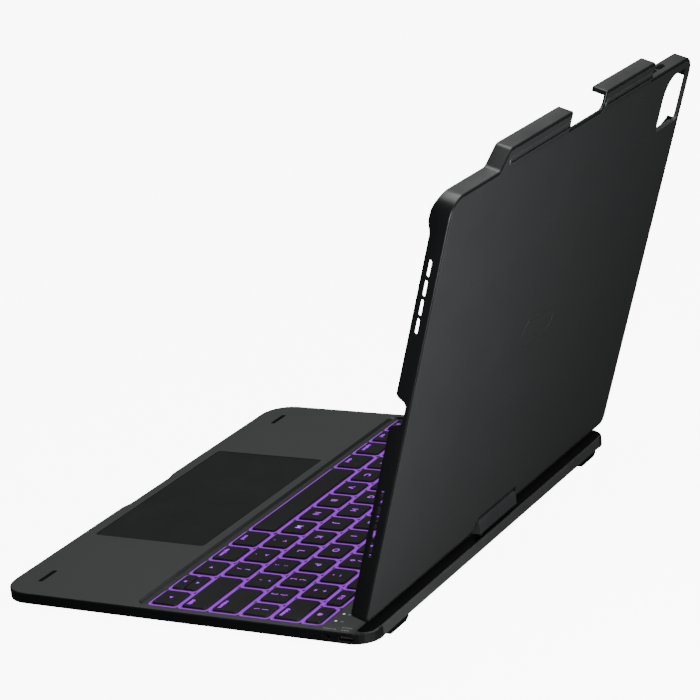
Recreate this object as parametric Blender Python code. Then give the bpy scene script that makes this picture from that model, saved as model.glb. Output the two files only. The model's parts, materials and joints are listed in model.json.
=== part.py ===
"""Tablet keyboard case: a keyboard base and a tablet shell on a swivel-and-tilt hinge.

Frame: +X towards the typist's right, +Y towards the hinge, +Z up, in metres.
The origin is the centre of the base shell's underside, and the feet reach below it.
The shell is modelled lying in its own frame, and its parent empty stands it up:
X across, U from the bottom edge to the top edge, V from the back face towards the screen.
"""
import math

import bmesh
import bpy
from mathutils import Vector

MM = 0.001
GAP = 0.3 * MM

# Base shell
BASE_W = 286 * MM
BASE_D = 219.8 * MM
BASE_T = 5.6 * MM
FRONT = -BASE_D / 2
REAR = BASE_D / 2
FRONT_CORNER_R = 16 * MM
REAR_CORNER_R = 12.5 * MM
THUMB_NOTCH_OUTER = 26 * MM
THUMB_NOTCH_INNER = 19.5 * MM
THUMB_NOTCH_DEPTH = 1.5 * MM
SIDE_WALL = 1.5 * MM
FRONT_WALL = 3.5 * MM
DECK_THICKNESS = 1.0 * MM
COVER_THICKNESS = 1.0 * MM
COVER_LEDGE = 0.6 * MM
PANEL_STEP = 0.2 * MM
PANEL_HALF_W = 95 * MM
PANEL_HALF_D = 85 * MM
REAR_BLOCK = 12 * MM
TOP_CHAMFER = 0.5 * MM
COVER_REAR = REAR - 3 * MM
CAVITY_R = 11 * MM
CUT_LOW = 4 * MM
CUT_HIGH = 7 * MM
FOOT_HEIGHT = 2.4 * MM
FOOT_X = (104 * MM, 124 * MM)
FOOT_D = 8.8 * MM
FOOT_Y = {"front": REAR - 214 * MM, "rear": REAR - 9 * MM}
FOOT_R = 0.8 * MM
FOOT_SKIRT_Z = (-0.8 * MM, -0.2 * MM)
FOOT_TAPER = 1.5 * MM

# Key well and keys. Cell widths run from the right-hand edge of the key field.
WELL_HALF_W = 138.3 * MM
WELL_FRONT = REAR - 137.4 * MM
WELL_REAR = REAR - 28.5 * MM
WELL_SLOPE = 1.4 * MM
WELL_DEPTH = 1.0 * MM
WELL_CORNER_R = 5 * MM
WELL_FLOOR = BASE_T - WELL_DEPTH
FIELD_HALF_W = 136.6 * MM
KEY_GAP = 3.4 * MM
KEY_DEPTH = 14.5 * MM
FUNCTION_KEY_DEPTH = 8.8 * MM
KEY_CORNER_R = 1.3 * MM
OPENING_MARGIN = 0.8 * MM
FLANGE_Z = (3.2 * MM, 3.55 * MM)
RIM_INSET = 0.3 * MM
ARROW_SPLIT = 0.8 * MM
CAP_SINK = 0.1 * MM
PLATE_LIP = 1.7 * MM
PLATE_LIP_Z = (3.85 * MM, 4.25 * MM)
UNIT = 19.3 * MM
ROW_REAR = {
    "function": REAR - 32.2 * MM,
    "number": REAR - 44.2 * MM,
    "upper": REAR - 62.05 * MM,
    "home": REAR - 79.9 * MM,
    "lower": REAR - 97.75 * MM,
    "bottom": REAR - 115.6 * MM,
}
ROWS = {
    "function": [("key_lock", 21.0 * MM)] + [("bank_function", 21.0 * MM)] * 12,
    "number": [("key_backspace", 26.6 * MM)] + [("bank_number", 19.35 * MM)] * 12
    + [("bank_number", 14.4 * MM)],
    "upper": [("key_backslash", 17.0 * MM)] + [("bank_upper", 19.35 * MM)] * 12
    + [("key_tab", 24.0 * MM)],
    "home": [("key_return", 31.0 * MM)] + [("bank_home", UNIT)] * 11
    + [("key_caps_lock", 29.9 * MM)],
    "lower": [("key_shift_right", 41.0 * MM)] + [("bank_lower", UNIT)] * 10
    + [("key_shift_left", 39.2 * MM)],
    "bottom": [
        ("key_arrow_right", 19.0 * MM),
        ("key_arrow_up_down", 20.0 * MM),
        ("key_arrow_left", 19.0 * MM),
        ("key_option_right", 20.0 * MM),
        ("key_command_right", 21.0 * MM),
        ("key_space", 94.0 * MM),
        ("key_command_left", 22.0 * MM),
        ("key_option_left", 20.0 * MM),
        ("key_control", 19.0 * MM),
        ("key_globe", 19.2 * MM),
    ],
}

# Trackpad, palm-rest bumpers, rear strip and small parts of the base
PAD_HALF_W = 64 * MM
PAD_Y = (REAR - 211.4 * MM, REAR - 143.2 * MM)
PAD_TOP = BASE_T - 0.1 * MM
PAD_THICKNESS = 1.0 * MM
PAD_MARGIN = 0.4 * MM
PAD_CORNER_R = 1.5 * MM
BUMPER_X = 120 * MM
BUMPER_Y = REAR - 204 * MM
BUMPER_L = 14 * MM
BUMPER_W = 2.2 * MM
BUMPER_Z = (3.8 * MM, 4.25 * MM, 5.65 * MM)
BUMPER_FLANGE = (18 * MM, 5.2 * MM)
TRIM_DEPTH = 1.2 * MM
TRIM_HALF_W = 129.8 * MM
TRIM_CHAMFER = 0.4 * MM
SEAM = 0.15 * MM
CHANNEL_HALF_W = 139.5 * MM
CHANNEL_FLOOR = 4.65 * MM
STRIP_Y = (REAR - 9.3 * MM, REAR - 1.75 * MM)
STRIP_X = (24 * MM, 139.2 * MM)
CHANNEL_REAR_R = 5.5 * MM
STRIP_Z = (4.95 * MM, 5.3 * MM)
LENS_X = (122.5 * MM, 130.8 * MM)
LENS_Y = REAR - 25.4 * MM
LENS_R = 0.6 * MM
LENS_BAR_Z = (2.8 * MM, 3.5 * MM)
LENS_BAR_HALF_D = 1.0 * MM
LENS_BAR_OVERHANG = 1.5 * MM
USB_Y = REAR - 13.8 * MM
USB_Z = 2.6 * MM
USB_SIZE = (8.8 * MM, 3.0 * MM)
USB_X = (134 * MM, 142.6 * MM)
USB_R = 1.4 * MM
USB_WALL = 0.35 * MM
SWITCH_Y = REAR - 26.0 * MM
SWITCH_Z = 2.6 * MM
SWITCH_TRAVEL = 2.0 * MM
SWITCH_PLATE = (2.4 * MM, 1.2 * MM)
SWITCH_PLATE_X = (139.4 * MM, 140.6 * MM)
SWITCH_KNOB = (1.3 * MM, 0.6 * MM)
SWITCH_KNOB_X = (140.3 * MM, 143.3 * MM)

# Inner parts of the base
BATTERY_X = (72 * MM, 134 * MM)
BATTERY_Y = (REAR - 198 * MM, REAR - 142.5 * MM)
BATTERY_Z = (1.5 * MM, 4.1 * MM)
SHEET_HALF_W = 137 * MM
SHEET_Y = (REAR - 135.5 * MM, REAR - 29.5 * MM)
CIRCUIT_Z = (1.3 * MM, 1.5 * MM)
GUIDE_Z = (1.8 * MM, 2.0 * MM)
BOARD_X = (60 * MM, 131 * MM)
BOARD_Y = (REAR - 27.5 * MM, REAR - 12.6 * MM)
BOARD_Z = (1.5 * MM, 2.3 * MM)
SENSOR_INSET = 4 * MM
SENSOR_Z = (2.9 * MM, 3.7 * MM)

# Hinge head
SWIVEL_Y = REAR - 4.8 * MM
TILT_Y = REAR - 3.6 * MM
TILT_Z = 13.5 * MM
HEAD_HALF_W = 22 * MM
HEAD_R = 3.45 * MM
HEAD_BOTTOM = 8.8 * MM
POST_R = 2.0 * MM
BUSH_R = (2.3 * MM, 2.7 * MM)
BUSH_Z = (1.4 * MM, 5.2 * MM)
PIN_Z = (1.5 * MM, 6.3 * MM)
POST_PLATE_HALF_W = 18 * MM
POST_PLATE_Y = (REAR - 7.1 * MM, REAR - 1.0 * MM)
POST_PLATE_Z = (6.0 * MM, 8.5 * MM)
POST_PLATE_R = 2.5 * MM
SHAFT_R = 1.2 * MM
SHAFT_HALF_L = 36 * MM
HEAD_BORE_R = 1.5 * MM
LID_BORE_R = 1.45 * MM

# Tablet shell, in its own X, U, V
LID_TILT_BACK = math.radians(18.43)
LID_W = 285 * MM
LID_H = 223.4 * MM
LID_CORNER_R = 10 * MM
LID_RIM_V = 8.4 * MM
LID_LIP_V = 9.5 * MM
LID_CHAMFER = 0.8 * MM
LIP_W = 3 * MM
LIP_LOW_U = 205 * MM
LIP_END_X = 128 * MM
LIP_OVERLAP = 0.1 * MM
AXIS_U = 2.6 * MM
AXIS_V = 1.95 * MM
PANEL_INSET = 1.4 * MM
PANEL_V = 1.6 * MM
PANEL_EDGE = 0.6 * MM
SKIRT_V = 0.9 * MM
LEDGE_V = (1.9 * MM, 3.0 * MM)
BAY_HALF_W = 141 * MM
BAY_U = (6.6 * MM, 222.4 * MM)
BAY_R = 14 * MM
WINDOW_HALF_W = 136 * MM
WINDOW_U = (11.6 * MM, 217.4 * MM)
WINDOW_R = 4 * MM
OPEN_TOP_U = (221 * MM, 226 * MM)
NOTCH_HALF_W = 22.6 * MM
NOTCH_U = 6.5 * MM
NOTCH_FLARE_U = 2.6 * MM
NOTCH_FLARE_X = (25.4 * MM, 25 * MM)
GUARD_U = 233 * MM
GUARD_WALL = 1.8 * MM
GUARD_BACK_V = (0.3 * MM, 1.8 * MM)
GUARD_FOOT_U = LID_H - PANEL_INSET + 0.35 * MM
GUARD_STEP = 0.1 * MM
GUARD_FRONT_V = 8.4 * MM
GUARD_RIGHT = (20.8 * MM, 87 * MM)
GUARD_LEFT = (-84.8 * MM, -20.8 * MM)
GUARD_RAMP = 8 * MM
RAMP_WALL = 1.6 * MM
CAMERA_X = (-140 * MM, -109.7 * MM)
CAMERA_U = (187 * MM, 217.6 * MM)
CAMERA_RADII = (4 * MM, 3 * MM, 12 * MM, 6 * MM)
CAMERA_WALL_GAP_U = (186.5 * MM, 211 * MM)
CAMERA_WALL_GAP_V = 2.0 * MM
PORT_U = 114.5 * MM
PORT_PROFILE = [(9 * MM, 12 * MM), (9 * MM, 8.4 * MM), (7.4 * MM, 7 * MM), (6 * MM, 3.6 * MM),
                (4.4 * MM, 2.4 * MM)]
SIDE_WALL_X = (139 * MM, 150 * MM)
SPEAKER_U = [(155, 163.2), (164.3, 172.8), (174, 182.4), (183.8, 192.5)]
SPEAKER_V = (4.2 * MM, 6.0 * MM)
VOLUME_X = (-95.2 * MM, -106.6 * MM)
VOLUME_L = 9 * MM
VOLUME_U = (222.6 * MM, 223.6 * MM)
VOLUME_V = (3.7 * MM, 6.3 * MM)
VOLUME_R = 1.2 * MM
LEAF_X = (23.2 * MM, 56 * MM)
LEAF_U = (1.0 * MM, 5.6 * MM)
LEAF_V = (4.5 * MM, 6.3 * MM)
THROUGH = (-3 * MM, 15 * MM)

PLASTIC = ("shell_plastic", (0.028, 0.030, 0.031), 0.42, 0.0)
DARK_PLASTIC = ("frame_plastic", (0.012, 0.013, 0.013), 0.38, 0.0)
KEY_PLASTIC = ("keycap_plastic", (0.022, 0.024, 0.023), 0.50, 0.0)
PAD_GLASS = ("trackpad_surface", (0.010, 0.011, 0.011), 0.35, 0.0)
RUBBER = ("black_rubber", (0.006, 0.006, 0.006), 0.75, 0.0)
STEEL = ("hinge_steel", (0.45, 0.45, 0.46), 0.30, 1.0)
BOARD = ("circuit_board", (0.02, 0.10, 0.05), 0.50, 0.0)
CELL = ("battery_foil", (0.55, 0.55, 0.56), 0.35, 0.6)
GUIDE = ("light_guide", (0.45, 0.14, 0.85), 0.40, 0.0)
FELT = ("lining_microfibre", (0.03, 0.03, 0.032), 0.95, 0.0)


def clear_scene():
    for scene_object in list(bpy.data.objects):
        bpy.data.objects.remove(scene_object, do_unlink=True)


def material(recipe):
    name, colour, roughness, metallic = recipe
    found = bpy.data.materials.get(name)
    if found:
        return found
    made = bpy.data.materials.new(name)
    made.use_nodes = True
    shader = made.node_tree.nodes["Principled BSDF"]
    shader.inputs["Base Color"].default_value = (*colour, 1.0)
    shader.inputs["Roughness"].default_value = roughness
    shader.inputs["Metallic"].default_value = metallic
    return made


def rounded(x0, x1, y0, y1, radii, steps=5):
    """A rectangle with rounded corners, counter-clockwise from the lower left.

    radii is one radius, or four from the lower left round to the upper left.
    """
    if not isinstance(radii, (tuple, list)):
        radii = (radii,) * 4
    corners = [(x0, y0, 1, 1), (x1, y0, -1, 1), (x1, y1, -1, -1), (x0, y1, 1, -1)]
    points = []
    for quarter, ((x, y, sx, sy), r) in enumerate(zip(corners, radii)):
        for i in range(steps + 1):
            angle = math.radians(180 + 90 * quarter + 90 * i / steps)
            points.append((x + sx * r + r * math.cos(angle), y + sy * r + r * math.sin(angle)))
    return points


def rectangle(x0, x1, y0, y1):
    return [(x0, y0), (x1, y0), (x1, y1), (x0, y1)]


def circle(cx, cy, r, count=24):
    turns = [2 * math.pi * i / count for i in range(count)]
    return [(cx + r * math.cos(a), cy + r * math.sin(a)) for a in turns]


def add_stack(bm, levels):
    """Adds a closed body through outlines of equal count, one at each (outline, height)."""
    rings = []
    for outline, height in levels:
        rings.append([bm.verts.new((x, y, height)) for x, y in outline])
    for low, high in zip(rings, rings[1:]):
        for i in range(len(low)):
            j = (i + 1) % len(low)
            bm.faces.new((low[i], low[j], high[j], high[i]))
    bm.faces.new(list(reversed(rings[0])))
    bm.faces.new(rings[-1])


def turned_to_x(bm):
    """Stands bodies built along Z so that they run along X, their outline in Y and Z."""
    for vert in bm.verts:
        x, y, z = vert.co
        vert.co = Vector((z, x, y))


def new_object(name, bm, recipe=None, parent=None, origin=(0, 0, 0), smooth=True):
    """Makes an object from bm, with its origin moved to a point of bm's own frame."""
    shift = Vector(origin)
    for vert in bm.verts:
        vert.co -= shift
    bmesh.ops.recalc_face_normals(bm, faces=bm.faces)
    mesh = bpy.data.meshes.new(name)
    bm.to_mesh(mesh)
    bm.free()
    if smooth:
        mesh.shade_smooth()
        mesh.set_sharp_from_angle(angle=math.radians(35))
    made = bpy.data.objects.new(name, mesh)
    bpy.context.scene.collection.objects.link(made)
    made.location = shift
    if recipe:
        mesh.materials.append(material(recipe))
    if parent:
        made.parent = parent
        made.location = shift - parent_origin(parent)
    return made


def parent_origin(parent):
    """The point of the modelling frame where a parent empty's own origin lies."""
    return Vector(parent["modelling_origin"])


def pivot(name, location, rotation=(0, 0, 0), modelling_origin=None, parent=None):
    """An empty on a joint's axis. Children are modelled about modelling_origin."""
    empty = bpy.data.objects.new(name, None)
    bpy.context.scene.collection.objects.link(empty)
    empty.location = location
    empty.rotation_euler = rotation
    empty["modelling_origin"] = location if modelling_origin is None else modelling_origin
    if parent:
        empty.parent = parent
        empty.location = Vector(location) - parent_origin(parent)
    return empty


def stack_object(name, levels, recipe, **where):
    bm = bmesh.new()
    add_stack(bm, levels)
    return new_object(name, bm, recipe, **where)


def cutter(target, label, bodies, along_x=False, parent=None, operation="DIFFERENCE"):
    """Applies a Boolean with the bodies, each a list of (outline, height) levels."""
    bm = bmesh.new()
    for levels in bodies:
        add_stack(bm, levels)
    if along_x:
        turned_to_x(bm)
    tool = new_object(f"cut_{label}", bm, parent=parent, smooth=False)
    tool.hide_render = True
    tool.display_type = "WIRE"
    modifier = target.modifiers.new(label, "BOOLEAN")
    modifier.operation = operation
    modifier.solver = "EXACT"
    modifier.object = tool
    return tool


def slab(outline, low, high):
    return [(outline, low), (outline, high)]


def base_outline():
    """The base seen from above, with the thumb notch in its front edge."""
    half = BASE_W / 2
    radii = (FRONT_CORNER_R, FRONT_CORNER_R, REAR_CORNER_R, REAR_CORNER_R)
    outline = rounded(-half, half, FRONT, REAR, radii, steps=7)
    notch = []
    for x, depth in ((-THUMB_NOTCH_OUTER, 0), (-THUMB_NOTCH_INNER, THUMB_NOTCH_DEPTH),
                     (THUMB_NOTCH_INNER, THUMB_NOTCH_DEPTH), (THUMB_NOTCH_OUTER, 0)):
        notch.append((x, FRONT + depth))
    return outline[:8] + notch + outline[8:]


def well_outline(grow, slope=0.0):
    """The key well's opening. slope moves its front edge back, down the sloped front wall."""
    half = WELL_HALF_W + grow
    low = WELL_FRONT - grow + slope
    high = WELL_REAR + grow
    return rounded(-half, half, low, high, max(WELL_CORNER_R + grow, 0.5 * MM), steps=5)


def channel_outline(shrink):
    """The recess along the rear edge, with ends that follow the base's rear corners."""
    half = CHANNEL_HALF_W - shrink
    radii = (2 * MM, 2 * MM, CHANNEL_REAR_R, CHANNEL_REAR_R)
    return rounded(-half, half, STRIP_Y[0] - GAP + shrink, STRIP_Y[1] + GAP - shrink, radii, steps=5)


def key_cells():
    """Every key cell as (node name, row, x left, x right, y front, y rear) of its cap."""
    cells = []
    for row, entries in ROWS.items():
        right = FIELD_HALF_W
        rear = ROW_REAR[row]
        depth = FUNCTION_KEY_DEPTH if row == "function" else KEY_DEPTH
        for name, width in entries:
            x0 = right - width + KEY_GAP / 2
            x1 = right - KEY_GAP / 2
            cells.append((name, row, x0, x1, rear - depth, rear))
            right -= width
    return cells


def build_top_case():
    half = BASE_W / 2
    outline = base_outline()
    scale_x = (half - TOP_CHAMFER) / half
    scale_y = (REAR - TOP_CHAMFER) / REAR
    inner = [(x * scale_x, y * scale_y) for x, y in outline]
    levels = [(outline, 0), (outline, BASE_T - TOP_CHAMFER), (inner, BASE_T)]
    case = stack_object("top_case", levels, PLASTIC)
    cavity_half = half - SIDE_WALL
    cavity_front = FRONT + FRONT_WALL
    cover_seat = rounded(-cavity_half, cavity_half, cavity_front, COVER_REAR, CAVITY_R)
    cavity = rounded(-cavity_half + COVER_LEDGE, cavity_half - COVER_LEDGE,
                     cavity_front + COVER_LEDGE, REAR - REAR_BLOCK,
                     (CAVITY_R, CAVITY_R, 2 * MM, 2 * MM))
    seat_top = COVER_THICKNESS + GAP
    cutter(case, "cover_seat", [slab(cover_seat, -MM, seat_top)])
    cutter(case, "cavity", [slab(cavity, COVER_THICKNESS, BASE_T - DECK_THICKNESS)])
    rise = 1.6
    well = [(well_outline(0, WELL_SLOPE * rise), BASE_T - WELL_DEPTH * rise),
            (well_outline(0, -WELL_SLOPE), BASE_T + WELL_DEPTH)]
    cutter(case, "well", [well])
    pad = rounded(-PAD_HALF_W - PAD_MARGIN, PAD_HALF_W + PAD_MARGIN, PAD_Y[0] - PAD_MARGIN,
                  PAD_Y[1] + PAD_MARGIN, PAD_CORNER_R + PAD_MARGIN, steps=3)
    cutter(case, "trackpad_opening", [slab(pad, CUT_LOW, CUT_HIGH)])
    slots = []
    for side in (-1, 1):
        x = side * BUMPER_X
        slot = rounded(x - BUMPER_L / 2 - GAP, x + BUMPER_L / 2 + GAP,
                       BUMPER_Y - BUMPER_W / 2 - GAP, BUMPER_Y + BUMPER_W / 2 + GAP,
                       BUMPER_W / 2, steps=3)
        slots.append(slab(slot, CUT_LOW, CUT_HIGH))
    for x in LENS_X:
        slots.append(slab(circle(x, LENS_Y, LENS_R + GAP, 12), CUT_LOW, CUT_HIGH))
    cutter(case, "deck_holes", slots)
    cutter(case, "rear_channel", [slab(channel_outline(0), CHANNEL_FLOOR, CUT_HIGH)])
    trim = rectangle(-TRIM_HALF_W - SEAM, TRIM_HALF_W + SEAM, REAR - TRIM_DEPTH - GAP, REAR + MM)
    cutter(case, "trim_seat", [slab(trim, -MM, CUT_HIGH)])
    bush = circle(0, SWIVEL_Y, BUSH_R[1] + GAP)
    cutter(case, "bush_seat", [slab(bush, COVER_THICKNESS, CUT_HIGH)])
    switch_half = SWITCH_KNOB[0] + GAP
    switch_rise = SWITCH_KNOB[1] + GAP
    margin = 0.2 * MM
    side_cuts = [
        slab(rounded(USB_Y - USB_SIZE[0] / 2 - GAP, USB_Y + USB_SIZE[0] / 2 + GAP,
                     USB_Z - USB_SIZE[1] / 2 - margin, USB_Z + USB_SIZE[1] / 2 + margin,
                     USB_R + margin / 2, steps=4), USB_X[0] - 0.5 * MM, half + MM),
        slab(rectangle(SWITCH_Y - switch_half, SWITCH_Y + switch_half + SWITCH_TRAVEL,
                       SWITCH_Z - switch_rise, SWITCH_Z + switch_rise), 140 * MM, half + MM),
    ]
    cutter(case, "side_openings", side_cuts, along_x=True)


def build_base_shell():
    build_top_case()
    cover_half = BASE_W / 2 - SIDE_WALL - GAP
    cover = rounded(-cover_half, cover_half, FRONT + FRONT_WALL + GAP, COVER_REAR - GAP,
                    CAVITY_R - GAP)
    pad = rounded(-PANEL_HALF_W, PANEL_HALF_W, -PANEL_HALF_D, PANEL_HALF_D, 8 * MM)
    levels = [(pad, 0), (pad, PANEL_STEP), (cover, PANEL_STEP), (cover, COVER_THICKNESS)]
    stack_object("bottom_cover", levels, PLASTIC)
    for end, y in FOOT_Y.items():
        for side, sign in (("left", -1), ("right", 1)):
            x0, x1 = sorted((sign * FOOT_X[0], sign * FOOT_X[1]))
            top = rounded(x0 - MM, x1 + MM, y, y + FOOT_D, FOOT_R, steps=2)
            sole = rounded(x0 + FOOT_TAPER, x1 - FOOT_TAPER, y + 0.6 * MM, y + FOOT_D - 0.2 * MM,
                           FOOT_R, steps=2)
            levels = [(sole, -FOOT_HEIGHT), (top, FOOT_SKIRT_Z[0]), (top, FOOT_SKIRT_Z[1])]
            stack_object(f"foot_{end}_{side}", levels, RUBBER)
    for side, sign in (("left", -1), ("right", 1)):
        x0, x1 = sorted((sign * SEAM, sign * TRIM_HALF_W))
        wide = rectangle(x0, x1, REAR - TRIM_DEPTH, REAR)
        narrow = rectangle(x0, x1, REAR - TRIM_DEPTH, REAR - TRIM_CHAMFER)
        levels = [(narrow, 0), (wide, TRIM_CHAMFER), (wide, BASE_T - TRIM_CHAMFER),
                  (narrow, BASE_T)]
        stack_object(f"rear_trim_{side}", levels, PLASTIC)
        x0, x1 = sorted((sign * STRIP_X[0], sign * STRIP_X[1]))
        rear_r = CHANNEL_REAR_R - GAP
        radii = (MM, 2 * MM, rear_r, MM) if sign > 0 else (2 * MM, MM, MM, rear_r)
        strip = rounded(x0, x1, STRIP_Y[0], STRIP_Y[1], radii, steps=4)
        stack_object(f"rear_strip_{side}", slab(strip, *STRIP_Z), RUBBER)
        x = sign * BUMPER_X
        half_w, half_d = (size / 2 for size in BUMPER_FLANGE)
        flange = rounded(x - half_w, x + half_w, BUMPER_Y - half_d, BUMPER_Y + half_d, MM, 3)
        body = rounded(x - BUMPER_L / 2, x + BUMPER_L / 2, BUMPER_Y - BUMPER_W / 2,
                       BUMPER_Y + BUMPER_W / 2, 0.9 * MM, 3)
        low, step, top = BUMPER_Z
        levels = [(flange, low), (flange, step), (body, step), (body, top)]
        stack_object(f"bumper_{side}", levels, RUBBER)


def build_electronics():
    for side, sign in (("left", -1), ("right", 1)):
        x0, x1 = sorted((sign * BATTERY_X[0], sign * BATTERY_X[1]))
        cell = rounded(x0, x1, *BATTERY_Y, 2 * MM, 3)
        stack_object(f"battery_{side}", slab(cell, *BATTERY_Z), CELL)
    sheet = rounded(-SHEET_HALF_W, SHEET_HALF_W, *SHEET_Y, 3 * MM, 3)
    stack_object("keyboard_circuit", slab(sheet, *CIRCUIT_Z), BOARD)
    stack_object("light_guide", slab(sheet, *GUIDE_Z), GUIDE)
    stack_object("main_board", slab(rectangle(*BOARD_X, *BOARD_Y), *BOARD_Z), BOARD)
    sensor_half = PAD_HALF_W - SENSOR_INSET
    sensor = rounded(-sensor_half, sensor_half, PAD_Y[0] + SENSOR_INSET, PAD_Y[1] - SENSOR_INSET,
                     MM, 2)
    stack_object("trackpad_board", slab(sensor, *SENSOR_Z), BOARD)
    bar = rectangle(LENS_X[0] - LENS_BAR_OVERHANG, LENS_X[1] + LENS_BAR_OVERHANG,
                    LENS_Y - LENS_BAR_HALF_D, LENS_Y + LENS_BAR_HALF_D)
    lens = stack_object("indicator_lens", slab(bar, *LENS_BAR_Z), GUIDE)
    post_low = sum(LENS_BAR_Z) / 2
    post_high = BASE_T - 0.05 * MM
    posts = [slab(circle(x, LENS_Y, LENS_R, 12), post_low, post_high) for x in LENS_X]
    cutter(lens, "lens_posts", posts, operation="UNION")
    build_usb_socket()
    build_power_switch()


def build_usb_socket():
    width, height = USB_SIZE
    y0, y1 = USB_Y - width / 2, USB_Y + width / 2
    z0, z1 = USB_Z - height / 2, USB_Z + height / 2
    bm = bmesh.new()
    add_stack(bm, slab(rounded(y0, y1, z0, z1, USB_R, 4), *USB_X))
    turned_to_x(bm)
    socket = new_object("usb_c_socket", bm, STEEL)
    mouth = rounded(y0 + USB_WALL, y1 - USB_WALL, z0 + USB_WALL, z1 - USB_WALL,
                    USB_R - USB_WALL, 4)
    cutter(socket, "usb_mouth", [slab(mouth, USB_X[0] + MM, USB_X[1] + MM)], along_x=True)


def build_power_switch():
    bm = bmesh.new()
    half_w, half_h = SWITCH_PLATE
    plate = rectangle(SWITCH_Y - half_w, SWITCH_Y + half_w, SWITCH_Z - half_h, SWITCH_Z + half_h)
    add_stack(bm, slab(plate, *SWITCH_PLATE_X))
    turned_to_x(bm)
    origin = (SWITCH_PLATE_X[1], SWITCH_Y, SWITCH_Z)
    switch = new_object("power_switch", bm, DARK_PLASTIC, origin=origin)
    half_w, half_h = SWITCH_KNOB
    knob = rectangle(SWITCH_Y - half_w, SWITCH_Y + half_w, SWITCH_Z - half_h, SWITCH_Z + half_h)
    cutter(switch, "switch_knob", [slab(knob, *SWITCH_KNOB_X)], along_x=True, operation="UNION")


def build_key_plate(cells):
    lip = well_outline(PLATE_LIP)
    face = well_outline(-GAP, WELL_SLOPE)
    levels = [(lip, PLATE_LIP_Z[0]), (lip, PLATE_LIP_Z[1]), (face, PLATE_LIP_Z[1]),
              (face, WELL_FLOOR)]
    plate = stack_object("key_plate", levels, PLASTIC)
    m = OPENING_MARGIN
    openings = []
    for _, _, x0, x1, y0, y1 in cells:
        outline = rectangle(x0 - m, x1 + m, y0 - m, y1 + m)
        openings.append(slab(outline, FLANGE_Z[0], BASE_T))
    cutter(plate, "key_openings", openings)


def key_levels(x0, x1, y0, y1, steps=2):
    """A keycap from its flange to its top: straight skirt, slight taper, small top bevel."""
    def inset(d, r):
        return rounded(x0 + d, x1 - d, y0 + d, y1 - d, r, steps)
    flange = inset(-RIM_INSET, KEY_CORNER_R)
    skirt = inset(0, KEY_CORNER_R)
    rim = inset(RIM_INSET, KEY_CORNER_R)
    return [(flange, FLANGE_Z[0]), (flange, FLANGE_Z[1]), (skirt, FLANGE_Z[1]), (rim, BASE_T)]


def build_keys(cells):
    banks = {}
    for name, row, x0, x1, y0, y1 in cells:
        if name.startswith("bank_"):
            banks.setdefault(name, []).append((x0, x1, y0, y1))
        elif name == "key_arrow_up_down":
            middle = (y0 + y1) / 2
            key_object("key_arrow_up", x0, x1, middle + ARROW_SPLIT / 2, y1, flange=False)
            key_object("key_arrow_down", x0, x1, y0, middle - ARROW_SPLIT / 2, flange=False)
        else:
            key_object(name, x0, x1, y0, y1)
    for name, caps in banks.items():
        build_bank(name, caps)


def key_object(name, x0, x1, y0, y1, flange=True):
    levels = key_levels(x0, x1, y0, y1)
    if not flange:
        levels = [(levels[2][0], FLANGE_Z[0]), levels[3]]
    origin = ((x0 + x1) / 2, (y0 + y1) / 2, BASE_T)
    stack_object(name, levels, KEY_PLASTIC, origin=origin)


def build_bank(name, caps):
    """A row's equal keys, whose caps share the thin web that stands for their flanges."""
    left = min(cap[0] for cap in caps)
    right = max(cap[1] for cap in caps)
    front, rear = caps[0][2], caps[0][3]
    web = rectangle(left, right, front, rear)
    origin = ((left + right) / 2, (front + rear) / 2, BASE_T)
    bank = stack_object(name, slab(web, *FLANGE_Z), KEY_PLASTIC, origin=origin)
    bodies = []
    for x0, x1, y0, y1 in caps:
        nudge = 0.01 * MM
        skirt = rounded(x0 + nudge, x1 - nudge, y0 + nudge, y1 - nudge, KEY_CORNER_R, 1)
        rim = rounded(x0 + RIM_INSET, x1 - RIM_INSET, y0 + RIM_INSET, y1 - RIM_INSET,
                      KEY_CORNER_R, 1)
        bodies.append([(skirt, FLANGE_Z[1] - CAP_SINK), (rim, BASE_T)])
    cutter(bank, f"{name}_caps", bodies, operation="UNION")


def build_trackpad():
    pad = rounded(-PAD_HALF_W, PAD_HALF_W, PAD_Y[0], PAD_Y[1], PAD_CORNER_R, 3)
    origin = (0, sum(PAD_Y) / 2, PAD_TOP)
    stack_object("trackpad", slab(pad, PAD_TOP - PAD_THICKNESS, PAD_TOP), PAD_GLASS, origin=origin)


def build_hinge_head():
    swivel = pivot("swivel_axis", (0, SWIVEL_Y, 0))
    plate = rounded(-POST_PLATE_HALF_W, POST_PLATE_HALF_W, *POST_PLATE_Y, POST_PLATE_R, 3)
    post = stack_object("swivel_post", slab(plate, *POST_PLATE_Z), STEEL, parent=swivel,
                        origin=(0, SWIVEL_Y, 0))
    cutter(post, "post_pin", [slab(circle(0, SWIVEL_Y, POST_R), *PIN_Z)], operation="UNION")
    for side, sign in (("left", -1), ("right", 1)):
        x0, x1 = sorted((sign * SEAM, sign * HEAD_HALF_W))
        profile = [(TILT_Y - HEAD_R, HEAD_BOTTOM), (TILT_Y + HEAD_R, HEAD_BOTTOM)]
        for i in range(13):
            angle = math.pi * i / 12
            profile.append((TILT_Y + HEAD_R * math.cos(angle), TILT_Z + HEAD_R * math.sin(angle)))
        bm = bmesh.new()
        add_stack(bm, slab(profile, x0, x1))
        turned_to_x(bm)
        block = new_object(f"hinge_block_{side}", bm, PLASTIC, parent=swivel,
                           origin=(0, SWIVEL_Y, 0))
        bore = slab(circle(TILT_Y, TILT_Z, HEAD_BORE_R, 20), x0 - MM, x1 + MM)
        cutter(block, f"bore_{side}", [bore], along_x=True)
    outer = circle(0, SWIVEL_Y, BUSH_R[1])
    bush = stack_object("swivel_bush", slab(outer, *BUSH_Z), STEEL)
    cutter(bush, "bush_bore", [slab(circle(0, SWIVEL_Y, BUSH_R[0]), 0, CUT_HIGH)])


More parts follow.
